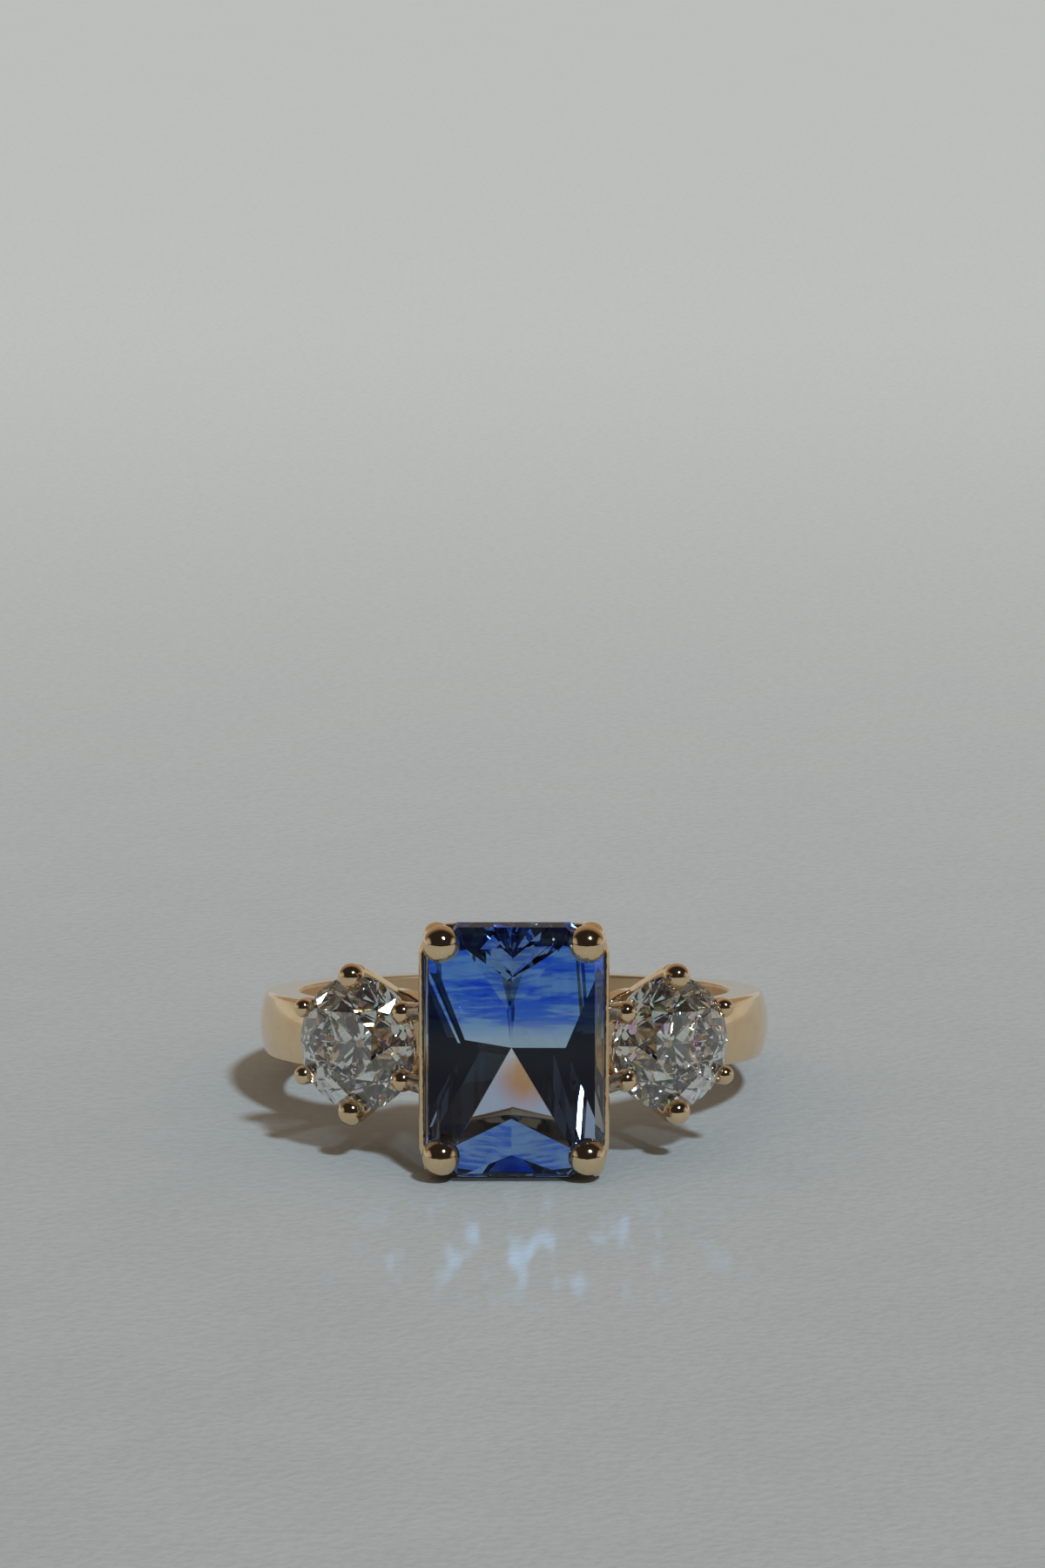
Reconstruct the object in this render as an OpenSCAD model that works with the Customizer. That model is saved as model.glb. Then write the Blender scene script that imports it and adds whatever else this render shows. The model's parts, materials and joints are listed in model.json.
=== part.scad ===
// Three stone ring, lying on its side.
// A cut-cornered rectangular stone stands between two round ones, each in a claw
// setting that is soldered to a plain domed band. In the ring's own frame the finger
// axis is Z and the head points along -Y. The whole ring is then tipped about X, so
// that it lies on the two lower claws of the centre setting and on the back of the
// band. The origin is the middle of the finger hole.

/* [Band] */
// Diameter of the finger hole
finger_d = 16.5; // [15:0.1:20]
// Thickness of the band at the middle of its width
band_t = 1.55; // [1.3:0.05:2]
// Width of the band along the finger
band_w = 2.5; // [2.1:0.1:3]
// Height of the dome over the edges of the band
band_dome = 0.25; // [0.1:0.05:0.4]
// Thickness of the thin bridge that the band is cut down to under the stones
bridge_t = 0.75; // [0.6:0.05:0.9]

/* [Centre stone] */
// Width across the ring
centre_w = 6.52; // [5.8:0.1:7.4]
// Length along the finger
centre_l = 9.32; // [8.4:0.1:10.4]
// Width and length that each cut corner takes away
corner_cut = 1.19; // [1:0.05:1.4]
// Height of the crown, from the girdle to the table
centre_crown = 0.45; // [0.35:0.05:0.6]
// Depth of the pavilion, from the girdle to the culet
centre_pavilion = 3.2; // [3:0.05:3.4]
// Thickness of the girdle
centre_girdle = 0.15; // [0.12:0.01:0.25]
// Width of the crown's step along the sides
side_step_w = 0.22; // [0.16:0.02:0.4]
// Width of the crown's step along the ends
end_step_w = 0.16; // [0.12:0.02:0.4]
// How far the table lies off the middle, across the ring
table_off = -0.09; // [-0.12:0.01:0.12]
// How far the culet lies off the middle, across the ring and along the finger
culet_off = [-0.1, -0.08]; // [-0.12:0.01:0.12]
// Metal and air between the culet and the finger hole
centre_culet_wall = 0.98; // [0.8:0.05:1.5]

/* [Side stones] */
// Diameter of each round stone
side_d = 5; // [4.6:0.1:5.4]
// Width of the table, corner to corner
side_table_w = 2.65; // [2.3:0.05:3]
// Height of the crown, from the girdle to the table
side_crown = 1; // [0.8:0.05:1.2]
// Depth of the pavilion, from the girdle to the culet
side_pavilion = 2.15; // [2:0.05:2.3]
// Thickness of the girdle
side_girdle = 0.12; // [0.08:0.02:0.2]
// Width of the small open culet
side_culet_w = 0.38; // [0.2:0.02:0.5]
// Metal between the culet and the finger hole
side_culet_wall = 0.95; // [0.8:0.05:1.3]
// Gap between a side stone's girdle and the rail of the centre setting
side_gap = 0.12; // [0.1:0.02:0.3]

/* [Centre setting] */
// Gap between the metal and each stone
seat_gap = 0.04; // [0.03:0.01:0.08]
// Diameter of the claw shafts
centre_shaft_d = 0.96; // [0.8:0.02:1.1]
// Diameter of the domed claw tips
centre_tip_d = 1.4; // [1.2:0.05:1.5]
// Width of the rail that shows outside the stone
rail_lip = 0.23; // [0.18:0.01:0.3]
// Thickness of the rail
rail_t = 0.55; // [0.4:0.05:0.7]
// Height of the rail
rail_h = 0.8; // [0.6:0.05:1]
// Width of the base frame across the ring
base_w = 4.4; // [4:0.1:4.8]
// Length of the base frame along the finger
base_l = 6.4; // [5.8:0.1:7]
// Height of the base frame
base_h = 1.85; // [1.6:0.05:2]
// Thickness of the base frame
base_t = 0.7; // [0.6:0.05:0.9]

/* [Side settings] */
// Diameter of the claw shafts
side_shaft_d = 0.62; // [0.5:0.02:0.7]
// Diameter of the tips of the upper and lower claws
upright_tip_d = 1; // [0.9:0.05:1.1]
// Diameter of the tips of the claws next to the centre setting
inner_tip_d = 0.86; // [0.8:0.02:0.95]
// Diameter of the tips of the claws over the band
outer_tip_d = 0.72; // [0.66:0.02:0.8]
// Diameter of the arms that tie the inner claws to the centre setting's rail
arm_d = 0.64; // [0.5:0.02:0.7]
// Outside diameter of the cup under each side stone
cup_d = 3.7; // [3.4:0.1:4]
// Height of the cup under each side stone
cup_h = 0.75; // [0.6:0.05:0.9]
// Diameter of the light hole through each cup and the bridge under it
light_hole_d = 1.8; // [1.4:0.1:2]

/* [Hidden] */
$fn = 64;

gold = "#d9b27a";
sapphire = "#2f4fb0";
diamond = "#e4e8ea";

// Band
finger_r = finger_d / 2;
band_r = finger_r + band_t;
dome_r = (pow(band_w / 2, 2) + pow(band_dome, 2)) / (2 * band_dome);

// Centre stone: its girdle plane is z = 0 in the frame of its setting
centre_x = centre_w / 2;
centre_y = centre_l / 2;
centre_z = centre_girdle / 2;
centre_r = finger_r + centre_culet_wall + centre_pavilion + centre_z;
// how far a step's corner points move along the edge for each millimetre inwards
corner_run = sqrt(2) - 1;

// Pavilion of the centre stone, as shares of its half width, half length and depth
pavilion_meets = [
    // across, then along and depth at the lower end, then both at the upper end
    [0, 0.57, 0.72, 0.5, 0.92],    // the two halves of the kite meet the end facets
    [0, 0.84, 0.32, 0.76, 0.36],   // the end facets meet the facet under the short end
    [0.58, 0, 0.45, 0, 0.45],      // the main facets meet the facet under the long side
    [0.66, 0.66, 0.5, 0.66, 0.5],  // a point on the facet under the cut corner
];
// side corners of the lower kite and of the upper one, which is as narrow as a keel, on the
// main facets, as shares of half width and half length
kite_corners = [[0.33, 0.32], [0.04, 0.3]];
// where the main facet leaves the girdle, as a share of the half length
main_reach = 0.7;

// Side stones: the angle round the ring is the one at which the girdle clears the rail
side_x = side_d / 2;
side_z = side_girdle / 2;
side_table = side_table_w / 2;
side_r = finger_r + side_culet_wall + side_pavilion + side_z;
rail_x = centre_x + rail_lip;
rail_y = centre_y - seat_gap;
side_angle = atan(side_x / side_r)
    + asin((rail_x + side_gap) / norm([side_r, side_x]));
// radius at which the crown's kites, stars and halves meet, and the pavilion's
crown_meet_share = 0.45;
pavilion_meet_share = 0.55;
crown_meet = side_table + crown_meet_share * (side_x - side_table);
pavilion_meet = pavilion_meet_share * side_x;
// angle between the points of the round girdle
girdle_step = 5.625;

// the bridge under the stones ends this many degrees beyond the middles of the side stones
bridge_reach = 8;
// length of the cut that keeps the finger hole open
finger_cut = 2 * centre_l;

// Claws: a knee's ball is larger than its shaft by this much
knee = 0.02;
// the knee stands outside the girdle by this share of the shaft's radius
knee_out = 0.45;
// thickness of the claw just under its tip, as a share of the tip
claw_neck = 0.85;
centre_shaft_r = centre_shaft_d / 2;
centre_tip_r = centre_tip_d / 2;
// the tips of the centre claws lie this far from the corner's middle, along the finger
tip_in = 0.18;
// height of the middle of a tip's ball over the girdle plane, as a share of its radius
centre_tip_rise = 0.75;
corner_mid = [centre_x - corner_cut / 2, centre_y - corner_cut / 2];
claw_top = [for (v = corner_mid) v + knee_out * centre_shaft_r];
claw_tip = [corner_mid.x, corner_mid.y - tip_in, centre_tip_rise * centre_tip_r];
// depth to which the base frame is let into the band's full thickness
base_sink = 1.4;
base_z = band_r - base_sink - centre_r;
claw_foot = [(base_w - base_t) / 2, (base_l - base_t) / 2, base_z + base_h / 2];

side_shaft_r = side_shaft_d / 2;
// the balls of the side claws' tips reach this far under the girdle plane
side_tip_sink = 0.02;
// metal between a cup's floor and the finger hole
cup_floor = 0.05;
cup_z = finger_r + cup_floor - side_r;
side_foot = [cup_d / 2 - side_shaft_r, 0, cup_z + cup_h / 2];
side_top = [side_x + knee_out * side_shaft_r, 0, 0];

// Arms: height over the girdle plane of the end at the claw, how far the other end is let
// into the rail, its distance under the girdle plane, and how far it leans outwards
arm_z = 0.2;
arm_sink = 0.25;
arm_drop = 0.3;
arm_lean = 0.15;

// Side claws, seen from outside with the centre setting on the left. The inner claws stand
// at this angle to the line between the stones.
inner_angle = 30;
side_claws = [
    // angle round the stone, tip diameter
    [90, upright_tip_d],
    [180 - inner_angle, inner_tip_d],
    [180 + inner_angle, inner_tip_d],
    [270, upright_tip_d],
    [330, outer_tip_d],
    [30, outer_tip_d],
];

// The tilt at which the lower claws' knees and the band's back lie on one plane
lie_reach = centre_r + band_r - band_dome;
lie_drop = claw_top[1] - band_w / 2;
lie_tilt = atan(lie_drop / lie_reach)
    + asin((centre_shaft_r + knee) / norm([lie_reach, lie_drop]));

// Points and planes. A plane is its normal and its distance along it.
function turned(p, a) = [p.x * cos(a) - p.y * sin(a), p.x * sin(a) + p.y * cos(a), p.z];
function mirrored(p, sx, sy) = [sx * p.x, sy * p.y, p.z];
function plane(p, q, r) = let (n = cross(q - p, r - p)) [n, n * p];
function meet(a, b, c) =
    (a[1] * cross(b[0], c[0]) + b[1] * cross(c[0], a[0]) + c[1] * cross(a[0], b[0]))
    / (a[0] * cross(b[0], c[0]));
function height_at(a, x, y) = (a[1] - a[0].x * x - a[0].y * y) / a[0].z;
function on_plane(a, x, y) = [x, y, height_at(a, x, y)];
// from a side setting's frame to the ring's, on the side with x positive
function from_side(p) = turned([p.x, -side_r - p.z, p.y], side_angle);

// Lays the ring down
module lying() {
    rotate([-lie_tilt, 0, 0]) children();
}

// A setting's frame: x round the ring, y along the finger, z away from the finger
module at_head(angle, radius) {
    rotate([0, 0, angle]) translate([0, -radius, 0]) rotate([90, 0, 0]) children();
}

// A faceted solid, from its corner points
module gem(points) {
    hull() polyhedron(points, [[for (i = [0 : len(points) - 1]) i]]);
}

// A rod between two points
module rod(from, to, r1, r2) {
    d = to - from;
    translate(from)
        rotate([0, acos(d.z / norm(d)), atan2(d.y, d.x)])
            cylinder(h = norm(d), r1 = r1, r2 = r2);
}

// A claw: a leaning shaft, a knee beside the girdle and a domed tip over the crown
module claw(foot, top, tip, shaft_r, tip_r) {
    rod(foot, top, shaft_r, shaft_r);
    translate(top) sphere(r = shaft_r + knee);
    rod(top, tip, shaft_r, claw_neck * tip_r);
    translate(tip) sphere(r = tip_r);
}

// A rectangle with round corners, made of squares and circles
module rounded_rect(x, y, r) {
    square([2 * x, 2 * (y - r)], center = true);
    square([2 * (x - r), 2 * y], center = true);
    for (sx = [-1, 1], sy = [-1, 1])
        translate([sx * (x - r), sy * (y - r)]) circle(r = r);
}

// Cut-cornered outline of the centre stone at a height, with its sides and ends moved in
function outline(side_in, end_in, z) = [
    for (sx = [-1, 1], sy = [-1, 1]) each [
        [sx * (centre_x - side_in), sy * (centre_y - corner_cut - corner_run * side_in), z],
        [sx * (centre_x - corner_cut - corner_run * side_in), sy * (centre_y - end_in), z],
    ]];

// Pavilion of the centre stone, one quarter at a time. The main facet holds the culet, the
// kite's side corner and a stretch of the girdle, which it makes thinner at the corner.
culet = [culet_off.x, culet_off.y, -centre_z - centre_pavilion];
function pavilion_meet(i, sx, sy) =
    let (p = pavilion_meets[i], k = sy < 0 ? 1 : 3)
    [sx * p[0] * centre_x, sy * p[k] * centre_y, -centre_z - p[k + 1] * centre_pavilion];
function pavilion_quarter(sx, sy) =
    let (
        off = [culet_off.x, 0, 0],
        kite_end = pavilion_meet(0, sx, sy) + off,
        end_low = pavilion_meet(1, sx, sy) + off,
        side_low = pavilion_meet(2, sx, sy),
        side_edge = [sx * centre_x, sy * main_reach * centre_y, -centre_z],
        end_edge = [sx * (centre_x - corner_cut), sy * centre_y, -centre_z],
        main = plane(culet, side_low, side_edge),
        corner_edge = on_plane(main, sx * centre_x, sy * (centre_y - corner_cut)),
        kite = kite_corners[sy < 0 ? 0 : 1],
        kite_side = on_plane(main, culet.x + sx * kite.x * centre_x,
            culet.y + sy * kite.y * centre_y),
        end = plane(kite_end, end_low, end_edge),
        corner = plane(corner_edge, end_edge, pavilion_meet(3, sx, sy))
    )
    [kite_end, kite_side, end_low, end_edge, side_low, side_edge, corner_edge,
        meet(main, end, corner)];
function pavilion() = [culet, for (sx = [-1, 1], sy = [-1, 1]) each pavilion_quarter(sx, sy)];

// The cut-cornered rectangular stone
module centre_stone() {
    table = outline(side_step_w, end_step_w, centre_z + centre_crown);
    color(sapphire)
        lying() at_head(0, centre_r)
            gem(concat([for (p = table) p + [table_off, 0, 0]], outline(0, 0, centre_z),
                pavilion()));
}

// The space that the metal leaves round the centre stone
module centre_seat() {
    g = seat_gap;
    table = outline(side_step_w - g, end_step_w - g, centre_z + centre_crown + g);
    gem(concat([for (p = table) p + [table_off, 0, 0]],
        outline(-g, -g, centre_z + g / 2),
        outline(-g, -g, -centre_z - g / 2),
        [for (p = pavilion()) p * (1 + g / centre_pavilion) - [0, 0, g]]));
}

// Crown or pavilion of a round stone, from the girdle at z to the flat at z_flat: eight
// kites whose points touch the girdle, and sixteen halves between them. The halves meet
// the round girdle in shallow scallops.
function round_half(z, z_flat, flat_r, meet_r) =
    let (
        slope = (z_flat - z) / (side_x - flat_r),
        meet_z = z + slope * (side_x - meet_r * cos(22.5)),
        half = plane(turned([meet_r, 0, meet_z], 22.5), [side_x, 0, z],
            turned([side_x, 0, z], 22.5))
    )
    [for (i = [0 : 7]) each [
        turned([flat_r, 0, z_flat], 45 * i),
        turned([meet_r, 0, meet_z], 45 * i + 22.5),
        for (side = [-1, 1], a = [0 : girdle_step : 22.5])
            turned([side_x, 0, height_at(half, side_x * cos(a), side_x * sin(a))],
                45 * i + side * a),
    ]];

// An old style round stone, with a small table, a high crown and an open culet. An edge
// of the table, not a corner, points round the ring.
module round_stone() {
    rotate(22.5) gem(concat(
        round_half(side_z, side_z + side_crown, side_table, crown_meet),
        round_half(-side_z, -side_z - side_pavilion, side_culet_w / 2, pavilion_meet)));
}

module left_stone() {
    color(diamond) lying() at_head(-side_angle, side_r) round_stone();
}

module right_stone() {
    color(diamond) lying() at_head(side_angle, side_r) round_stone();
}

// The space that the metal leaves round a side stone
module round_seat() {
    g = seat_gap;
    crown_slope = side_crown / (side_x - side_table);
    meet_z = side_z + crown_slope * (side_x - crown_meet * cos(22.5));
    top_z = side_z + side_crown;
    rotate_extrude()
        polygon([
            [0, -side_z - side_pavilion - g],
            [side_culet_w / 2 + g, -side_z - side_pavilion - g],
            [side_x + g, -side_z - g / 2],
            [side_x + g, side_z + g / 2],
            [crown_meet + g, meet_z + g],
            [side_table + g, top_z + g],
            [0, top_z + g],
        ]);
}

// The plain domed band, cut down to a thin bridge under the stones. The bridge ends in the
// side bars of the base frame, so that light passes through the frame.
module band() {
    bridge_angle = side_angle + bridge_reach;
    difference() {
        rotate_extrude()
            intersection() {
                translate([finger_r - band_t, -band_w / 2]) square([2 * band_t, band_w]);
                translate([band_r - dome_r, 0]) circle(r = dome_r);
            }
        rotate([0, 0, -90 - bridge_angle])
            rotate_extrude(angle = 2 * bridge_angle)
                translate([finger_r + bridge_t, -band_w]) square([band_t, 2 * band_w]);
        at_head(0, band_r)
            cube([base_w - base_t, base_l, 4 * band_t], center = true);
    }
}

// Rail, base frame and four claws of the centre setting
module centre_setting() {
    translate([0, 0, centre_z - rail_h])
        linear_extrude(rail_h)
            difference() {
                rounded_rect(rail_x, rail_y, corner_cut);
                rounded_rect(rail_x - rail_t, rail_y - rail_t, corner_cut - rail_t / 2);
            }
    translate([0, 0, base_z])
        linear_extrude(base_h)
            difference() {
                rounded_rect(base_w / 2, base_l / 2, base_t);
                square([base_w - 2 * base_t, base_l - 2 * base_t], center = true);
            }
    for (sx = [-1, 1], sy = [-1, 1])
        claw(mirrored(claw_foot, sx, sy), mirrored([each claw_top, 0], sx, sy),
            mirrored(claw_tip, sx, sy), centre_shaft_r, centre_tip_r);
}

// Cup and six claws of the side setting on the side with x positive
module side_setting() {
    translate([0, 0, cup_z]) cylinder(h = cup_h, r = cup_d / 2);
    for (c = side_claws) {
        tip_r = c[1] / 2;
        tip = [side_x, 0, tip_r - side_tip_sink];
        claw(turned(side_foot, c[0]), turned(side_top, c[0]), turned(tip, c[0]),
            side_shaft_r, tip_r);
    }
}

// The two arms that tie the inner claws of that setting to the centre setting
module arms() {
    for (sy = [-1, 1]) {
        claw_end = from_side(turned([side_x, 0, arm_z], 180 - sy * inner_angle));
        rail_end = [rail_x - arm_sink, arm_drop - centre_r, claw_end.z + sy * arm_lean];
        rod(claw_end, rail_end, arm_d / 2, arm_d / 2);
    }
}

// All the soldered metal
module ring_mount() {
    color(gold)
        lying() difference() {
            union() {
                band();
                at_head(0, centre_r) centre_setting();
                for (m = [0, 1])
                    mirror([m, 0, 0]) {
                        at_head(side_angle, side_r) side_setting();
                        arms();
                    }
            }
            cylinder(h = finger_cut, r = finger_r, center = true);
            at_head(0, centre_r) centre_seat();
            for (side = [-1, 1])
                at_head(side * side_angle, side_r) {
                    round_seat();
                    translate([0, 0, cup_z]) cylinder(h = 2 * cup_h, d = light_hole_d, center = true);
                }
        }
}

ring_mount();
centre_stone();
left_stone();
right_stone();
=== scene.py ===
import json
import math

import bmesh
import bpy
from mathutils import Matrix, Vector


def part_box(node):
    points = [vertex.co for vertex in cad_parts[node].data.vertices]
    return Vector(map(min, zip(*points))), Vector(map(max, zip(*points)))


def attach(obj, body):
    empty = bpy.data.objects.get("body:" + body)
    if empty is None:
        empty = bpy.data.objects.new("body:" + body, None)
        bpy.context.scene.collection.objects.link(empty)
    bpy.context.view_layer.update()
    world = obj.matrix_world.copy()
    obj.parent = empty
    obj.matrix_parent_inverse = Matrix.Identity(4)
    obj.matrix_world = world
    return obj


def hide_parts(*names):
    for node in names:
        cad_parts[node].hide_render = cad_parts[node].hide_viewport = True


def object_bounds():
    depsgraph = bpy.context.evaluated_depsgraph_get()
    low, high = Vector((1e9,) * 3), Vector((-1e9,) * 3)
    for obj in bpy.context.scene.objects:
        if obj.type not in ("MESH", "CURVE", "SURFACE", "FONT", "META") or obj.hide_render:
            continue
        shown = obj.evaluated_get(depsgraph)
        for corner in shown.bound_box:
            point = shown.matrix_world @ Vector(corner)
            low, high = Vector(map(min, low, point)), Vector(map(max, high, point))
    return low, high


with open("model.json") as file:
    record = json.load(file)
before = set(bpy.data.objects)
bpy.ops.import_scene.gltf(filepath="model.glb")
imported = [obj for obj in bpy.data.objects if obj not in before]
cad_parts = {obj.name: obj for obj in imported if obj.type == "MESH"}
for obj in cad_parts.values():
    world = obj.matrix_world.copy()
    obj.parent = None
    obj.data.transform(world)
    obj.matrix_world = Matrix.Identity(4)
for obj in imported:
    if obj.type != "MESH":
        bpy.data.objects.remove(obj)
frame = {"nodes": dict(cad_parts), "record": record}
cadLow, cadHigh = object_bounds()
mount = frame["record"]["mounts"][0]
fingerAxis = Vector(mount["axis"]).normalized()
lieTilt = math.atan2(fingerAxis.y, fingerAxis.z)
mm = 0.001
closeBy = 2e-7          # metres; points nearer than this become one
# From millimetres in the ring's own frame, finger axis along Z, to metres as it lies
laid = Matrix.Scale(mm, 4) @ Matrix.Rotation(-lieTilt, 4, "X")
print(f"frame loaded, the ring is tipped by {math.degrees(lieTilt):.2f} degrees")


class Wire:
    # A socket of a node tree. Sums and products of wires add Math nodes.
    def __init__(self, tree, socket=None):
        self.tree = tree
        self.socket = socket

    def node(self, kind, settings=None, values=None, out=0):
        made = self.tree.nodes.new(kind)
        for name, value in (settings or {}).items():
            setattr(made, name, value)
        for name, value in (values or {}).items():
            socket = made.inputs[name]
            if isinstance(value, Wire):
                self.tree.links.new(value.socket, socket)
            else:
                socket.default_value = value
        return Wire(self.tree, made.outputs[out] if made.outputs else None)

    # Another output of the same node
    def twin(self, name):
        return Wire(self.tree, self.socket.node.outputs[name])

    def math(self, operation, first, second):
        return self.node("ShaderNodeMath", {"operation": operation}, {0: first, 1: second})

    def __add__(self, other):
        return self.math("ADD", self, other)

    def __sub__(self, other):
        return self.math("SUBTRACT", self, other)

    def __rsub__(self, other):
        return self.math("SUBTRACT", other, self)

    def __mul__(self, other):
        return self.math("MULTIPLY", self, other)

    def __truediv__(self, other):
        return self.math("DIVIDE", self, other)

    __radd__ = __add__

    # 0 below low, 1 above high, with a smooth rise between
    def rise(self, low, high):
        return self.node("ShaderNodeMapRange", {"interpolation_type": "SMOOTHSTEP"},
                         {"Value": self, "From Min": low, "From Max": high})

    def blend(self, first, second):
        return self.node("ShaderNodeMix", {"data_type": "RGBA"},
                         {"Factor": self, 6: first, 7: second}, out=2)

    # Noise over a place
    def noise(self, scale, detail, roughness=0.5):
        return self.node("ShaderNodeTexNoise", values={
            "Vector": self, "Scale": scale, "Detail": detail, "Roughness": roughness})

    def distanceTo(self, point):
        return self.node("ShaderNodeVectorMath", {"operation": "DISTANCE"},
                         {0: self, 1: point}, out="Value")


def newMaterial(name):
    material = bpy.data.materials.new(name)
    material.use_nodes = True
    material.node_tree.nodes.clear()
    return material, Wire(material.node_tree)


def rgba(colour):
    return (*colour, 1)


# Object coordinates in millimetres
def millimetres(net):
    coords = net.node("ShaderNodeTexCoord", out="Object")
    return net.node("ShaderNodeVectorMath", {"operation": "SCALE"}, {0: coords, "Scale": 1 / mm})


def finish(net, surface, volume=None):
    sockets = {"Surface": surface}
    if volume:
        sockets["Volume"] = volume
    net.node("ShaderNodeOutputMaterial", values=sockets)


# What all the gold's finish has in common, with scales a millimetre
polish = {
    "patchScale": 1.3,      # duller patches
    "patchRise": (0.42, 0.68),
    "grainScale": 14.0,     # fine grain
    "grainRoughness": 0.02,
    "grainHeight": 0.03,    # beside the waves' height
    "waveScale": 2.2,       # waves left by polishing
    "satinEdge": 0.05,      # width over which the satin finish ends, in millimetres
}
goldLook = {
    "tint": (0.90, 0.68, 0.42),
    "rosyTint": (0.88, 0.62, 0.38),
    "roughness": 0.05,
    "haze": 0.05,          # how much rougher the duller patches are
    "satin": 0.35,         # and the wall of the finger hole
    "wave": 0.006,         # height of the polishing waves, in millimetres
}


# Distance from the line through the middle of the finger hole, in millimetres
def fingerDistance(net, place):
    across = net.node("ShaderNodeVectorMath", {"operation": "CROSS_PRODUCT"},
                      {0: place, 1: fingerAxis})
    return net.node("ShaderNodeVectorMath", {"operation": "LENGTH"}, {0: across}, out="Value")


# The wall of the finger hole, up to the given radius, has a satin finish
def makeGold(name, look, satinRadius=0):
    material, net = newMaterial(name)
    place = millimetres(net)
    satinStart = satinRadius - polish["satinEdge"]
    satin = 1 - fingerDistance(net, place).rise(satinStart, satinRadius)
    duller = place.noise(polish["patchScale"], 3).rise(*polish["patchRise"])
    grain = place.noise(polish["grainScale"], 4)
    waves = place.noise(polish["waveScale"], 2)
    bump = net.node("ShaderNodeBump", values={
        "Strength": 1.0, "Distance": look["wave"] * mm,
        "Height": waves + grain * polish["grainHeight"]})
    shader = net.node("ShaderNodeBsdfPrincipled", values={
        "Base Color": duller.blend(rgba(look["tint"]), rgba(look["rosyTint"])),
        "Metallic": 1.0,
        "Roughness": (look["roughness"] + duller * look["haze"]
                      + grain * polish["grainRoughness"] + satin * look["satin"]),
        "Normal": bump})
    finish(net, shader)
    return material


# The solder and the inner arms are darker and less polished
solderLook = {
    "tint": (0.52, 0.42, 0.32),
    "rosyTint": (0.30, 0.25, 0.22),
    "roughness": 0.16,
    "haze": 0.16,
    "satin": 0,            # it stays clear of the finger hole
    "wave": 0.05,
}

sapphireLook = {
    "ior": 1.77,
    "blue": (0.016, 0.10, 0.98),      # the strongly coloured end
    "midBlue": (0.20, 0.48, 1.0),     # paler bands in it
    "clear": (0.68, 0.90, 1.0),       # the nearly colourless middle
    "smoky": (0.52, 0.62, 0.80),      # the other end
    "zoneStart": 0.15,                # along the finger, in millimetres from the middle
    "zoneEnd": 1.1,
    "smokyStart": -0.3,
    "smokyEnd": -1.3,
    "zoneSway": 0.5,                  # how far the bands move the zone's edge
    "bandScale": 3.4,                 # colour bands a millimetre
    "bandStretch": (0.13, 0.13, 1),
    "bandRise": (0.42, 0.58),
    "depthTint": (0.42, 0.58, 0.90),
    "depthDensity": 45.0,             # a metre of stone
    "fleck": (0.80, 0.25, 0.06),      # painted reflection of the gold behind the stone, a warm patch over the culet's lower side
    "fleckPlace": (0.5, -1.1, -2.7),  # in the setting's frame, in millimetres
    "fleckSize": (0.45, 1.6),
}


# The setting is the matrix of the centre setting's frame
def makeSapphire(look, setting):
    material, net = newMaterial("sapphireLook")
    place = millimetres(net)
    along = net.node("ShaderNodeVectorMath", {"operation": "DOT_PRODUCT"},
                     {0: place, 1: fingerAxis}, out="Value")
    stretched = net.node("ShaderNodeMapping", values={
        "Vector": place, "Scale": look["bandStretch"]})
    streaks = stretched.noise(look["bandScale"], 4, 0.6)
    swayed = along + (streaks - 0.5) * look["zoneSway"]
    zone = swayed.rise(look["zoneStart"], look["zoneEnd"])
    bands = streaks.rise(*look["bandRise"])
    smoke = along.rise(look["smokyEnd"], look["smokyStart"])
    pale = smoke.blend(rgba(look["smoky"]), rgba(look["clear"]))
    colour = zone.blend(pale, bands.blend(rgba(look["blue"]), rgba(look["midBlue"])))
    # Painted reflection: the gold seen behind the stone, painted as a warm patch into its colour
    away = place.distanceTo(laid @ setting @ Vector(look["fleckPlace"]) / mm)
    colour = away.rise(*look["fleckSize"]).blend(rgba(look["fleck"]), colour)
    shader = net.node("ShaderNodeBsdfPrincipled", values={
        "Base Color": colour, "Roughness": 0.0, "IOR": look["ior"], "Transmission Weight": 1.0})
    volume = net.node("ShaderNodeVolumeAbsorption", values={
        "Color": rgba(look["depthTint"]), "Density": look["depthDensity"]})
    finish(net, shader, volume)
    return material


diamondLook = {
    "ior": 2.42,
    "tint": (0.94, 1.0, 1.0),
    "warmTint": (0.94, 0.96, 0.90),
    "cloudScale": 1.1,      # warmer clouds a millimetre
    "cloudRise": (0.4, 0.62),
    "fireScale": 3.4,       # painted flashes of coloured light, the stone's fire, a millimetre
    "fire": 0.55,           # strength of their colour
    "fireShare": 0.12,      # share of the stone that they take
    "fireFull": 0.6,        # part of that share where they are at full strength
}


def makeDiamond(look):
    material, net = newMaterial("diamondLook")
    place = millimetres(net)
    clouds = place.noise(look["cloudScale"], 2).rise(*look["cloudRise"])
    colour = clouds.blend(rgba(look["tint"]), rgba(look["warmTint"]))
    # Painted fire: flashes of coloured light painted into the diamond's colour
    paintedFlash = net.node("ShaderNodeTexVoronoi", values={
        "Vector": place, "Scale": look["fireScale"]}, out="Color")
    pick = net.node("ShaderNodeSeparateColor", values={"Color": paintedFlash})
    # The red part picks the colour of a painted flash and the green part whether it shows
    hue = net.node("ShaderNodeCombineColor", {"mode": "HSV"}, {
        "Red": pick, "Green": look["fire"], "Blue": 1.0})
    chosen = pick.twin("Green").rise(
        1 - look["fireShare"], 1 - look["fireShare"] * look["fireFull"])
    shader = net.node("ShaderNodeBsdfPrincipled", values={
        "Base Color": chosen.blend(colour, hue), "Roughness": 0.0, "IOR": look["ior"],
        "Transmission Weight": 1.0})
    finish(net, shader)
    return material


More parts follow.
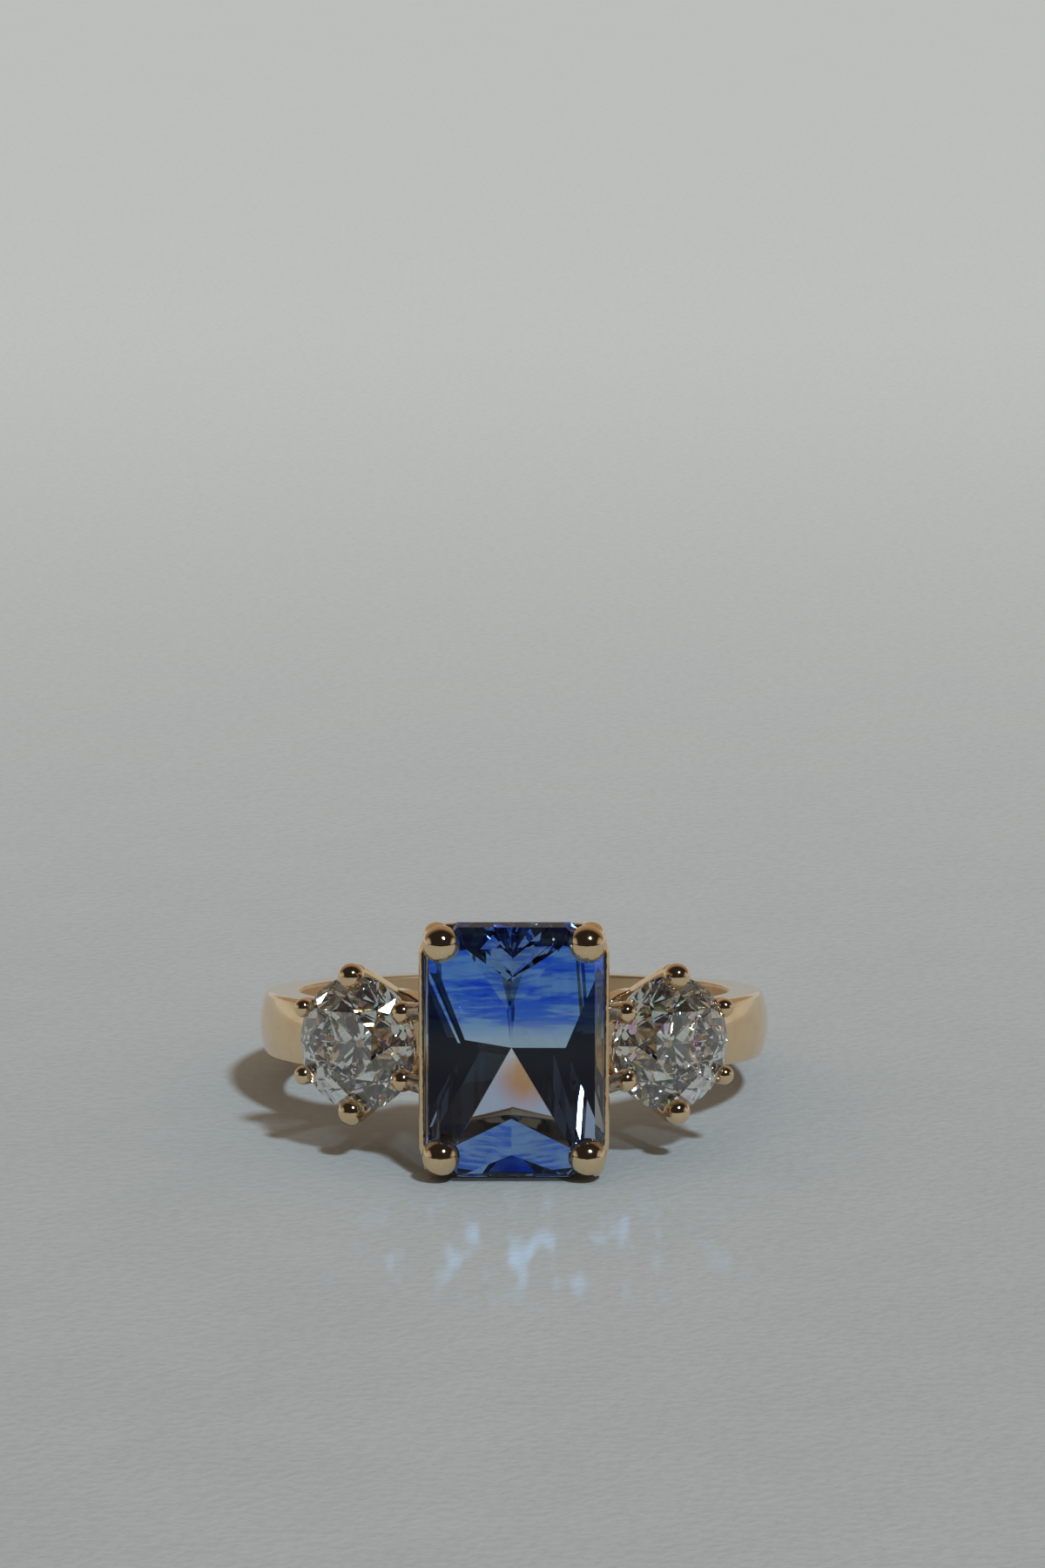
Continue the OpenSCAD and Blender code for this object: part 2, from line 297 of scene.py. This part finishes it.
# Ring sizes in millimetres, as the solids have them
band = {
    "fingerRadius": mount["dims"]["r_mm"],
    "width": mount["dims"]["length_mm"],
    "thickness": 1.55,
    "dome": 0.25,
    "edge": 0.13,
    "bridge": 0.75,         # thickness left under the stones
    "bridgeReach": 8,       # degrees beyond the middles of the side stones
    "satin": 0.1,           # how far past the finger hole's radius its satin finish goes
    "profileStep": 0.03,
    "steps": 256,
    "fingerCut": 12,        # length of the plug that clears the finger hole
}
centre = {
    "width": 6.52,
    "length": 9.32,
    "cornerCut": 1.19,
    "culetWall": 0.98,
    "pavilion": 3.2,
    "girdle": 0.15,
    "railLip": 0.23,
    "railThickness": 0.55,
    "railHeight": 0.8,
    "gap": 0.04,
    "shaftRadius": 0.48,
    "tipRadius": 0.7,
    "baseWidth": 4.4,
    "baseLength": 6.4,
    "baseHeight": 1.85,
    "baseThickness": 0.7,
    "baseSink": 1.4,
    "railEdge": 0.25,
    "baseEdge": 0.1,
}
side = {
    "diameter": 5,
    "pavilion": 2.15,
    "girdle": 0.12,
    "culetWall": 0.95,
    "gap": 0.12,
    "cupDiameter": 3.7,
    "cupHeight": 0.75,
    "cupFloor": 0.05,
    "cupEdge": [(0.08, 0), (0.02, 0.03), (0, 0.1)],     # below the rim, then in from the wall
    "lightHole": 1.8,
    "shaftRadius": 0.31,
    "armRadius": 0.32,
    # angle round the stone, seen from outside with the centre stone on the left, and
    # radius of the tip
    "claws": [(90, 0.5), (150, 0.43), (210, 0.43), (270, 0.5), (330, 0.36), (30, 0.36)],
}

bandRadius = band["fingerRadius"] + band["thickness"]
centreRadius = (band["fingerRadius"] + centre["culetWall"] + centre["pavilion"]
                + centre["girdle"] / 2)
sideStoneRadius = side["diameter"] / 2
sideRadius = (band["fingerRadius"] + side["culetWall"] + side["pavilion"]
              + side["girdle"] / 2)
railX = centre["width"] / 2 + centre["railLip"]
railY = centre["length"] / 2 - centre["gap"]
sideAngle = (math.atan(sideStoneRadius / sideRadius)
             + math.asin((railX + side["gap"]) / math.hypot(sideRadius, sideStoneRadius)))
cupZ = band["fingerRadius"] + side["cupFloor"] - sideRadius

gold = makeGold("polishedGold", goldLook, band["fingerRadius"] + band["satin"])
solder = makeGold("solderedGold", solderLook)
print("materials made")


# A setting's frame: x round the ring, y along the finger, z away from the finger
def atHead(angle, radius):
    return (Matrix.Rotation(angle, 4, "Z") @ Matrix.Translation((0, -radius, 0))
            @ Matrix.Rotation(math.pi / 2, 4, "X"))


def addObject(name, data):
    added = bpy.data.objects.new(name, data)
    bpy.context.scene.collection.objects.link(added)
    return added


# A node group with named inputs, and its wires
def newTree(name, inputs):
    tree = bpy.data.node_groups.new(name, "GeometryNodeTree")
    kinds = {"float": "NodeSocketFloat", "int": "NodeSocketInt", "curve": "NodeSocketGeometry",
             "material": "NodeSocketMaterial"}
    for label, kind in inputs:
        tree.interface.new_socket(label, in_out="INPUT", socket_type=kinds[kind])
    tree.interface.new_socket("Mesh", in_out="OUTPUT", socket_type="NodeSocketGeometry")
    net = Wire(tree)
    source = tree.nodes.new("NodeGroupInput")
    wires = {label: Wire(tree, source.outputs[label]) for label, _ in inputs}
    return tree, net, wires


def closeTree(net, mesh, material):
    mesh = net.node("GeometryNodeSetShadeSmooth", values={"Geometry": mesh})
    mesh = net.node("GeometryNodeRealizeInstances", values={"Geometry": mesh})
    mesh = net.node("GeometryNodeSetMaterial", values={"Geometry": mesh, "Material": material})
    net.node("NodeGroupOutput", values={"Mesh": mesh})


# Values that the node trees share, in millimetres and steps
weld = 0.0005
bandCornerSteps = 6
frameCornerSteps = 14
frameEdgeSteps = 5


# Rectangle with rounded corners, as a curve in the XY plane
def roundedRectangle(net, width, height, corner, steps):
    outline = net.node("GeometryNodeCurvePrimitiveQuadrilateral", values={
        "Width": width, "Height": height})
    return net.node("GeometryNodeFilletCurve", {"mode": "POLY"}, {
        "Curve": outline, "Count": steps, "Radius": corner, "Limit Radius": True})


# The band: a rounded rectangle whose outer side is raised into a dome, swept round a circle
def makeBandTree():
    tree, net, given = newTree("bandTree", [
        ("Geometry", "curve"), ("Finger Radius", "float"), ("Thickness", "float"),
        ("Width", "float"), ("Dome", "float"), ("Edge", "float"), ("Profile Step", "float"),
        ("Steps", "int"), ("Metal", "material")])
    flat = given["Thickness"] - given["Dome"]
    outline = roundedRectangle(net, flat, given["Width"], given["Edge"], bandCornerSteps)
    outline = net.node("GeometryNodeResampleCurve", {"mode": "LENGTH"}, {
        "Curve": outline, "Length": given["Profile Step"]})
    place = net.node("ShaderNodeSeparateXYZ", values={
        "Vector": net.node("GeometryNodeInputPosition")})
    across = place.twin("Y") / (given["Width"] * 0.5)
    # 1 on the outer side of the profile, which alone is domed
    outer = place.rise(-0.2, 0.2)
    lift = (1 - across * across) * given["Dome"] * outer
    offset = net.node("ShaderNodeCombineXYZ", values={"X": lift})
    outline = net.node("GeometryNodeSetPosition", values={"Geometry": outline, "Offset": offset})
    path = net.node("GeometryNodeCurvePrimitiveCircle", values={
        "Resolution": given["Steps"], "Radius": given["Finger Radius"] + flat * 0.5})
    mesh = net.node("GeometryNodeCurveToMesh", values={"Curve": path, "Profile Curve": outline})
    mesh = net.node("GeometryNodeMergeByDistance", values={"Geometry": mesh, "Distance": weld})
    closeTree(net, mesh, given["Metal"])
    return tree


# A frame with round corners: rail and base of the centre setting
def makeFrameTree():
    tree, net, given = newTree("frameTree", [
        ("Geometry", "curve"), ("Width", "float"), ("Length", "float"), ("Corner", "float"),
        ("Thickness", "float"), ("Height", "float"), ("Edge", "float"), ("Metal", "material")])
    path = roundedRectangle(net, given["Width"] - given["Thickness"],
                            given["Length"] - given["Thickness"],
                            given["Corner"] - given["Thickness"] * 0.5, frameCornerSteps)
    profile = roundedRectangle(net, given["Thickness"], given["Height"], given["Edge"],
                               frameEdgeSteps)
    mesh = net.node("GeometryNodeCurveToMesh", values={"Curve": path, "Profile Curve": profile})
    mesh = net.node("GeometryNodeMergeByDistance", values={"Geometry": mesh, "Distance": weld})
    closeTree(net, mesh, given["Metal"])
    return tree


# Round sections along every spline of a curve, as thick as the spline's own radius
def makeSweepTree():
    tree, net, given = newTree("sweepTree", [
        ("Geometry", "curve"), ("Sides", "int"), ("Metal", "material")])
    profile = net.node("GeometryNodeCurvePrimitiveCircle", values={
        "Resolution": given["Sides"], "Radius": 1.0})
    mesh = net.node("GeometryNodeCurveToMesh", values={
        "Curve": given["Geometry"], "Profile Curve": profile,
        "Scale": net.node("GeometryNodeInputRadius"), "Fill Caps": True})
    closeTree(net, mesh, given["Metal"])
    return tree


def addTree(holder, tree, values):
    modifier = holder.modifiers.new(tree.name, "NODES")
    modifier.node_group = tree
    for item in tree.interface.items_tree:
        if item.in_out == "INPUT" and item.name in values:
            modifier[item.identifier] = values[item.name]


# Turns what an object shows into a plain mesh piece, moved to where it lies on the ring
def settle(holder, name, place):
    bpy.context.view_layer.update()
    evaluated = holder.evaluated_get(bpy.context.evaluated_depsgraph_get())
    mesh = bpy.data.meshes.new_from_object(evaluated)
    mesh.name = name
    mesh.transform(laid @ place)
    piece = addObject(name, mesh)
    bpy.data.objects.remove(holder)
    return piece


# Joins doubled points and turns every face outward
def outward(piece):
    shape = bmesh.new()
    shape.from_mesh(piece.data)
    bmesh.ops.remove_doubles(shape, verts=shape.verts, dist=closeBy)
    bmesh.ops.recalc_face_normals(shape, faces=shape.faces)
    shape.to_mesh(piece.data)
    shape.free()
    return piece


# A piece that a node tree makes by itself
def grown(name, tree, values, place):
    holder = addObject(name + "Holder", bpy.data.meshes.new(name + "Holder"))
    addTree(holder, tree, values)
    return outward(settle(holder, name, place))


# Curve object whose splines are lists of (place, radius)
def splineHolder(name, splines):
    data = bpy.data.curves.new(name, "CURVE")
    data.dimensions = "3D"
    for points in splines:
        spline = data.splines.new("POLY")
        spline.points.add(len(points) - 1)
        for point, (place, radius) in zip(spline.points, points):
            point.co = (*place, 1)
            point.radius = radius
    return addObject(name, data)


# A stretch from one place to another with a round bend at each inner point, which takes the
# given share of the way to its neighbours
def bent(places, radii, share=0.3, steps=7):
    points = [(places[0], radii[0])]
    for i in range(1, len(places) - 1):
        before, here, after = places[i - 1], places[i], places[i + 1]
        start = here.lerp(before, share)
        end = here.lerp(after, share)
        for k in range(steps + 1):
            t = k / steps
            place = start * (1 - t) ** 2 + here * 2 * t * (1 - t) + end * t * t
            if t < 0.5:
                radius = radii[i] + (radii[i - 1] - radii[i]) * share * (1 - 2 * t)
            else:
                radius = radii[i] + (radii[i + 1] - radii[i]) * share * (2 * t - 1)
            points.append((place, radius))
    points.append((places[-1], radii[-1]))
    return points


# A round bead as a spline through its poles, which keep a trace of radius
def bead(middle, radius, steps=18, pole=0.002):
    points = []
    for k in range(steps + 1):
        angle = math.pi * k / steps
        points.append((middle - Vector((0, 0, radius * math.cos(angle))),
                       max(radius * math.sin(angle), pole)))
    return points


# A closed mesh to cut with, made from a bmesh that the matrix takes to where it lies
def plugFrom(shape, name, matrix):
    bmesh.ops.recalc_face_normals(shape, faces=shape.faces)
    shape.transform(matrix)
    mesh = bpy.data.meshes.new(name)
    shape.to_mesh(mesh)
    shape.free()
    return addObject(name, mesh)


def roundPlug(name, radius, depth, place, segments):
    shape = bmesh.new()
    bmesh.ops.create_cone(shape, cap_ends=True, segments=segments, radius1=radius,
                          radius2=radius, depth=depth)
    return plugFrom(shape, name, laid @ place)


# What the band loses under the stones, so that a thin bridge is left there
def bridgePlug(steps=96, spare=1):
    shape = bmesh.new()
    reach = sideAngle + math.radians(band["bridgeReach"])
    inner = band["fingerRadius"] + band["bridge"]
    outer = bandRadius + spare
    half = band["width"]
    corners = ((inner, -half), (outer, -half), (outer, half), (inner, half))
    rows = []
    for k in range(steps + 1):
        angle = reach * (2 * k / steps - 1)
        rows.append([shape.verts.new((radius * math.sin(angle), -radius * math.cos(angle), z))
                     for radius, z in corners])
    for first, second in zip(rows, rows[1:]):
        for i in range(4):
            j = (i + 1) % 4
            shape.faces.new((first[i], first[j], second[j], second[i]))
    shape.faces.new(rows[0])
    shape.faces.new(rows[-1])
    return plugFrom(shape, "bridgePlug", laid)


# The way through the band behind the centre stone, which ends inside the base frame's bars
def windowPlug():
    shape = bmesh.new()
    bmesh.ops.create_cube(shape, size=1)
    wide = centre["baseWidth"] - centre["baseThickness"]
    return plugFrom(shape, "windowPlug", laid @ atHead(0, bandRadius) @ Matrix.Diagonal(
        (wide, centre["baseLength"], 4 * band["thickness"], 1)))


# The light hole through a side setting's cup and the bridge under it
def lightPlug(sign, steps=64):
    place = atHead(sign * sideAngle, sideRadius) @ Matrix.Translation((0, 0, cupZ))
    return roundPlug("lightPlug", side["lightHole"] / 2, 2 * side["cupHeight"], place, steps)


bandTree = makeBandTree()
frameTree = makeFrameTree()
sweepTree = makeSweepTree()

bandPiece = grown("band", bandTree, {
    "Finger Radius": band["fingerRadius"], "Thickness": band["thickness"],
    "Width": band["width"], "Dome": band["dome"], "Edge": band["edge"],
    "Profile Step": band["profileStep"], "Steps": band["steps"], "Metal": gold},
    Matrix.Identity(4))
print("band swept")

centrePlace = atHead(0, centreRadius)
railZ = centre["girdle"] / 2 - centre["railHeight"] / 2
railPiece = grown("centreRail", frameTree, {
    "Width": 2 * railX, "Length": 2 * railY, "Corner": centre["cornerCut"],
    "Thickness": centre["railThickness"], "Height": centre["railHeight"],
    "Edge": centre["railEdge"], "Metal": gold},
    centrePlace @ Matrix.Translation((0, 0, railZ)))

baseMiddle = bandRadius - centre["baseSink"] - centreRadius + centre["baseHeight"] / 2
basePiece = grown("centreBase", frameTree, {
    "Width": centre["baseWidth"], "Length": centre["baseLength"],
    "Corner": centre["baseThickness"], "Thickness": centre["baseThickness"],
    "Height": centre["baseHeight"], "Edge": centre["baseEdge"], "Metal": gold},
    centrePlace @ Matrix.Translation((0, 0, baseMiddle)))
print("rail and base frame swept")


# Cuts closed meshes out of a piece and keeps its one material. Edges over the sharp angle,
# in degrees, stay sharp.
def carve(piece, cutters, sharp=40):
    for cutter in cutters:
        cut = piece.modifiers.new("cut", "BOOLEAN")
        cut.operation = "DIFFERENCE"
        cut.solver = "MANIFOLD"
        cut.object = cutter
    bpy.context.view_layer.update()
    evaluated = piece.evaluated_get(bpy.context.evaluated_depsgraph_get())
    mesh = bpy.data.meshes.new_from_object(evaluated)
    material = piece.data.materials[0]
    piece.modifiers.clear()
    piece.data = mesh
    mesh.materials.clear()
    mesh.materials.append(material)
    mesh.polygons.foreach_set("material_index", [0] * len(mesh.polygons))
    mesh.polygons.foreach_set("use_smooth", [True] * len(mesh.polygons))
    mesh.set_sharp_from_angle(angle=math.radians(sharp))


fingerHole = roundPlug("fingerPlug", band["fingerRadius"], band["fingerCut"],
                       Matrix.Identity(4), band["steps"])
window = windowPlug()
lightHoles = {-1: lightPlug(-1), 1: lightPlug(1)}
cutters = [fingerHole, window, bridgePlug()] + list(lightHoles.values())
carve(bandPiece, cutters[1:])


# The space round a stone, a little larger than the stone, that the metal is cut back from
def seatOf(nodeName, gap):
    low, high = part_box(nodeName)
    middle = (low + high) / 2
    size = high - low
    shape = bmesh.new()
    for vert in frame["nodes"][nodeName].data.vertices:
        place = vert.co.copy()
        for axis in range(3):
            share = 1 + 2 * gap * mm / size[axis]
            place[axis] = middle[axis] + (place[axis] - middle[axis]) * share
        shape.verts.new(place)
    bmesh.ops.remove_doubles(shape, verts=shape.verts, dist=closeBy)
    bmesh.ops.convex_hull(shape, input=shape.verts)
    loose = [vert for vert in shape.verts if not vert.link_faces]
    bmesh.ops.delete(shape, geom=loose, context="VERTS")
    return plugFrom(shape, "seatOf" + nodeName, Matrix.Identity(4))


casting = {
    "voxel": 0.035,         # millimetres
    "softening": 0.5,
    "rounds": 5,
}


# Casts overlapping parts into one skin, rounds the joints a little and cuts the seats out
def cast(piece, seats):
    remesh = piece.modifiers.new("skin", "REMESH")
    remesh.mode = "VOXEL"
    remesh.voxel_size = casting["voxel"] * mm
    remesh.use_smooth_shade = True
    soften = piece.modifiers.new("soften", "SMOOTH")
    soften.factor = casting["softening"]
    soften.iterations = casting["rounds"]
    carve(piece, seats)
    print(f"{piece.name}: {len(piece.data.polygons)} faces after casting")
    return piece


# Overlapping round sections along splines, still to be cast into one skin
def swept(name, splines, sides, metal, place):
    holder = splineHolder(name + "Holder", splines)
    addTree(holder, sweepTree, {"Sides": sides, "Metal": metal})
    return settle(holder, name, place)


# Claws of the centre stone: a shaft up the corner, a knee beside the girdle, a domed bead
centreClaw = {
    "kneeOut": 0.45,        # share of the shaft's radius by which the knee stands outside
    "radius": 0.50,
    "tipIn": 0.18,
    "tipRise": 0.75,        # share of the bead's radius
    "sides": 40,
}


def centreSplines():
    out = centreClaw["kneeOut"] * centre["shaftRadius"]
    cornerX = (centre["width"] - centre["cornerCut"]) / 2
    cornerY = (centre["length"] - centre["cornerCut"]) / 2
    footX = (centre["baseWidth"] - centre["baseThickness"]) / 2
    footY = (centre["baseLength"] - centre["baseThickness"]) / 2
    tipY = cornerY - centreClaw["tipIn"]
    tipZ = centreClaw["tipRise"] * centre["tipRadius"]
    splines = []
    for sx in (-1, 1):
        for sy in (-1, 1):
            foot = Vector((sx * footX, sy * footY, baseMiddle))
            knee = Vector((sx * (cornerX + out), sy * (cornerY + out), 0))
            tip = Vector((sx * cornerX, sy * tipY, tipZ))
            splines.append(bent([foot, knee, tip], [centreClaw["radius"]] * 3))
            splines.append(bead(tip, centre["tipRadius"]))
    return splines


centreSeat = seatOf("centre_stone", centre["gap"])
carve(basePiece, [centreSeat])
carve(railPiece, [centreSeat])
clawPiece = cast(swept("centreClaws", centreSplines(), centreClaw["sides"], gold, centrePlace),
                 [centreSeat])


# Side settings: cup, six claws, and the arms that tie the inner claws to the rail
sideClaw = {
    "kneeOut": 0.45,        # share of the shaft's radius by which the knee stands outside
    "kneeRadius": 0.33,
    "neck": 0.85,           # share of the tip's radius that the shaft has there
    "tipSink": 0.02,
    "sides": 32,
}
arm = {
    "turn": 30,             # degrees from the middle line to the claws that the arms hold
    "rise": 0.2,            # over the girdle of the side stone
    "sink": 0.25,           # into the rail of the centre setting
    "drop": 0.3,            # under the girdle of the centre stone
    "lean": 0.15,           # how far each turns off along the finger toward the rail
    "sides": 24,
}


def turned(point, degrees):
    return Matrix.Rotation(math.radians(degrees), 4, "Z") @ Vector(point)


def sideSplines():
    cup = side["cupDiameter"] / 2
    cupTop = cupZ + side["cupHeight"]
    wall = [(Vector((0, 0, cupZ)), cup)]
    for below, inward in side["cupEdge"]:
        wall.append((Vector((0, 0, cupTop - below)), cup - inward))
    splines = [wall]
    kneeX = sideStoneRadius + sideClaw["kneeOut"] * side["shaftRadius"]
    for angle, tipRadius in side["claws"]:
        foot = turned((cup - side["shaftRadius"], 0, cupZ + side["cupHeight"] / 2), angle)
        knee = turned((kneeX, 0, 0), angle)
        tip = turned((sideStoneRadius, 0, tipRadius - sideClaw["tipSink"]), angle)
        splines.append(bent([foot, knee, tip], [
            side["shaftRadius"], sideClaw["kneeRadius"], tipRadius * sideClaw["neck"]]))
        splines.append(bead(tip, tipRadius))
    return splines


def armSplines(sign):
    place = atHead(sign * sideAngle, sideRadius)
    splines = []
    for sy in (-1, 1):
        near = turned((sideStoneRadius, 0, arm["rise"]), 180 - sy * arm["turn"])
        near.x *= sign
        clawEnd = place @ near
        railEnd = Vector((sign * (railX - arm["sink"]), arm["drop"] - centreRadius,
                          clawEnd.z + sy * arm["lean"]))
        splines.append([(clawEnd, side["armRadius"]), (railEnd, side["armRadius"])])
    return splines


sidePieces = []
armPieces = []
cutters.append(centreSeat)
for sign, node, label in ((-1, "left_stone", "left"), (1, "right_stone", "right")):
    seat = seatOf(node, centre["gap"])
    cutters.append(seat)
    place = atHead(sign * sideAngle, sideRadius) @ Matrix.Scale(sign, 4, (1, 0, 0))
    piece = swept(label + "Setting", sideSplines(), sideClaw["sides"], gold, place)
    sidePieces.append(cast(outward(piece), [seat, fingerHole, lightHoles[sign]]))
    piece = swept(label + "Arms", armSplines(sign), arm["sides"], solder, Matrix.Identity(4))
    armPieces.append(cast(piece, [seat]))
for cutter in cutters:
    bpy.data.objects.remove(cutter)
print("settings cast and cut")

# The stones keep their solids and get their finish here
diamond = makeDiamond(diamondLook)
stoneFinish = {
    "centre_stone": makeSapphire(sapphireLook, centrePlace),
    "left_stone": diamond,
    "right_stone": diamond,
}
for stone, material in stoneFinish.items():
    data = frame["nodes"][stone].data
    data.materials.clear()
    data.materials.append(material)

metal = [bandPiece, railPiece, basePiece, clawPiece] + sidePieces + armPieces
for piece in metal:
    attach(piece, "root")
    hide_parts("ring_mount")

# Camera: the photo's angle, 13.8 degrees over the floor, 227 mm from the finger hole
camera = {
    "elevation": 13.8,
    "distance": 227,
    "lens": 134.7,
    "sensor": 36,
    "frameWidth": 1200,
    "frameHeight": 1800,
    "ringX": 590,           # where the finger hole's middle is in that frame
    "ringY": 1172.5,
}
focal = camera["lens"] / camera["sensor"] * camera["frameHeight"]
elevation = math.radians(camera["elevation"])
pitch = elevation - math.atan((camera["ringY"] - camera["frameHeight"] / 2) / focal)
yaw = math.atan((camera["frameWidth"] / 2 - camera["ringX"]) / focal)
lensData = bpy.data.cameras.new("camera")
lensData.lens = camera["lens"]
lensData.sensor_width = camera["sensor"]
lensData.clip_start = 0.005
lensData.clip_end = 20
cameraObject = addObject("camera", lensData)
cameraObject.location = Vector((0, -math.cos(elevation), math.sin(elevation))) * (
    camera["distance"] * mm)
cameraObject.rotation_euler = (math.pi / 2 - pitch, 0, -yaw)
bpy.context.scene.camera = cameraObject

# Floor: mottled paper with a fine grain, paler and smoother toward the back, with painted streaks
# of the light that the stones throw in front of the ring
floorLook = {
    "size": 6.0,
    "roughness": 0.9,
    "near": (0.495, 0.525, 0.545),
    "far": (0.79, 0.82, 0.83),
    "back": (-0.06, 0.26),          # where it starts and ends to grow paler, in metres
    "mottleScale": 160,             # a metre, as are the next two scales
    "mottleRise": (0.35, 0.7),
    "mottle": (0.75, 0.74, 0.72),
    "mottleShare": 0.08,
    "mottleHeight": 2,              # beside the grain's height
    "grainScale": 2600,
    "grainRise": (0.35, 0.65),
    "grain": (0.2, 0.18, 0.15),
    "grainShare": 0.12,
    "grainHeight": 0.06,            # in millimetres
    "glintScale": 1250,
    "glintStretch": (1, 0.16, 1),
    "glintRise": (0.52, 0.78),
    "glint": (0.58, 0.74, 0.96),    # painted light: what the stones throw in front of the ring, painted into the floor's colour
    "glintPlace": (0.8, -21.8),     # its middle on the floor, in millimetres
    "glintSize": (1, 9.5),          # radii where it is full and where it ends
}
floorMesh = bpy.data.meshes.new("floor")
half = floorLook["size"] / 2
floorZ = cadLow.z
floorMesh.from_pydata([(-half, -half, floorZ), (half, -half, floorZ), (half, half, floorZ),
                       (-half, half, floorZ)], [], [(0, 1, 2, 3)])
floor = addObject("floor", floorMesh)


def makeFloor(look):
    material, net = newMaterial("paleFloor")
    spot = net.node("ShaderNodeTexCoord", out="Object")
    mottle = spot.noise(look["mottleScale"], 6)
    grain = spot.noise(look["grainScale"], 3)
    back = net.node("ShaderNodeSeparateXYZ", values={"Vector": spot}, out="Y").rise(*look["back"])
    bump = net.node("ShaderNodeBump", values={
        "Strength": 1.0, "Distance": look["grainHeight"] * mm,
        "Height": (grain + mottle * look["mottleHeight"]) * (1 - back)})
    tone = back.blend(rgba(look["near"]), rgba(look["far"]))
    mottled = mottle.rise(*look["mottleRise"]) * look["mottleShare"]
    tone = mottled.blend(tone, rgba(look["mottle"]))
    grained = (grain * look["grainShare"]).blend(tone, rgba(look["grain"]))
    tone = grain.rise(*look["grainRise"]).blend(tone, grained)
    # Painted light: streaks of light from the stones, painted into the floor's colour in front of
    # the ring
    lengthwise = net.node("ShaderNodeMapping", values={
        "Vector": spot, "Scale": look["glintStretch"]})
    streaks = lengthwise.noise(look["glintScale"], 1).rise(*look["glintRise"])
    away = millimetres(net).distanceTo(Vector((*look["glintPlace"], floorZ / mm)))
    glint = streaks * (1 - away.rise(*look["glintSize"]))
    finish(net, net.node("ShaderNodeBsdfPrincipled", values={
        "Base Color": glint.blend(tone, rgba(look["glint"])),
        "Roughness": look["roughness"], "Normal": bump}))
    return material


floorMesh.materials.append(makeFloor(floorLook))

# Light: a sun from the front right, a pale room behind and a dark one behind the camera
light = {
    "sunAzimuth": 26,       # degrees right of the camera
    "sunElevation": 48,
    "sunStrength": 1.87,
    "sunSize": 6,
    "sunColour": (0.74, 0.90, 1.0),
    "through": 0.14,        # share of it that the stones let through
    "fill": (0.35, 0.275, 0.20),    # what lights rough surfaces in the shadows
    "wall": (0.50, 0.515, 0.50),    # the room low down, seen by camera and mirrors
    "wallTop": (0.04, 0.22),        # it ends between these heights of the direction
    "wallStart": (-0.25, 0.1),      # and starts between these, from front to back
    "warm": (0.34, 0.26, 0.18),     # the room behind the ring
    "warmStart": (0.15, 0.75),
    "beside": (0.40, 0.39, 0.37),   # the room at both sides of the ring
    "besideWidth": (0.70, 0.92),
    "besideFoot": (0.0, 0.15),
    "dark": (0.022, 0.019, 0.019),  # the rest of it
}
sunTurn = math.radians(light["sunAzimuth"])
sunHeight = math.radians(light["sunElevation"])
toSun = Vector((math.sin(sunTurn) * math.cos(sunHeight),
                -math.cos(sunTurn) * math.cos(sunHeight), math.sin(sunHeight)))


def addSun(name, share):
    data = bpy.data.lights.new(name, "SUN")
    data.energy = light["sunStrength"] * share
    data.angle = math.radians(light["sunSize"])
    data.color = light["sunColour"]
    sun = addObject(name, data)
    sun.rotation_euler = toSun.to_track_quat("Z", "Y").to_euler()
    return sun


# Part of the sunlight goes on through the stones, so their shadows aren't solid
addSun("sun", 1 - light["through"])
through = addSun("sunThroughStones", light["through"])
passes = bpy.data.collections.new("letLightThrough")
through.light_linking.blocker_collection = passes
for stone in stoneFinish:
    passes.objects.link(frame["nodes"][stone])
for entry in passes.collection_objects:
    entry.light_linking.link_state = "EXCLUDE"

world = bpy.data.worlds.new("room")
bpy.context.scene.world = world
world.use_nodes = True
world.node_tree.nodes.clear()
net = Wire(world.node_tree)
direction = net.node("ShaderNodeSeparateXYZ", values={
    "Vector": net.node("ShaderNodeTexCoord", out="Generated")})
sideways = direction.twin("X")
backward = direction.twin("Y")
upward = direction.twin("Z")
wide = (sideways * sideways).rise(*light["besideWidth"]) * upward.rise(*light["besideFoot"])
beside = wide.blend(rgba(light["dark"]), rgba(light["beside"]))
above = backward.rise(*light["warmStart"]).blend(beside, rgba(light["warm"]))
lowDown = (1 - upward.rise(*light["wallTop"])) * backward.rise(*light["wallStart"])
room = net.node("ShaderNodeBackground", values={
    "Color": lowDown.blend(above, rgba(light["wall"])), "Strength": 1.0})
seen = net.node("ShaderNodeBackground", values={"Color": rgba(light["wall"]), "Strength": 1.0})
fill = net.node("ShaderNodeBackground", values={"Color": rgba(light["fill"]), "Strength": 1.0})
lookingAt = net.node("ShaderNodeLightPath", out="Is Camera Ray")
scattered = net.node("ShaderNodeLightPath", out="Is Diffuse Ray")
room = net.node("ShaderNodeMixShader", values={0: scattered, 1: room, 2: fill})
net.node("ShaderNodeOutputWorld", values={"Surface": net.node(
    "ShaderNodeMixShader", values={0: lookingAt, 1: room, 2: seen})})

scene = bpy.context.scene
scene.view_settings.view_transform = "Standard"
scene.cycles.max_bounces = 24
scene.cycles.glossy_bounces = 16
scene.cycles.transmission_bounces = 20
scene.cycles.caustics_reflective = False
scene.cycles.caustics_refractive = False
print("camera, floor and light placed")
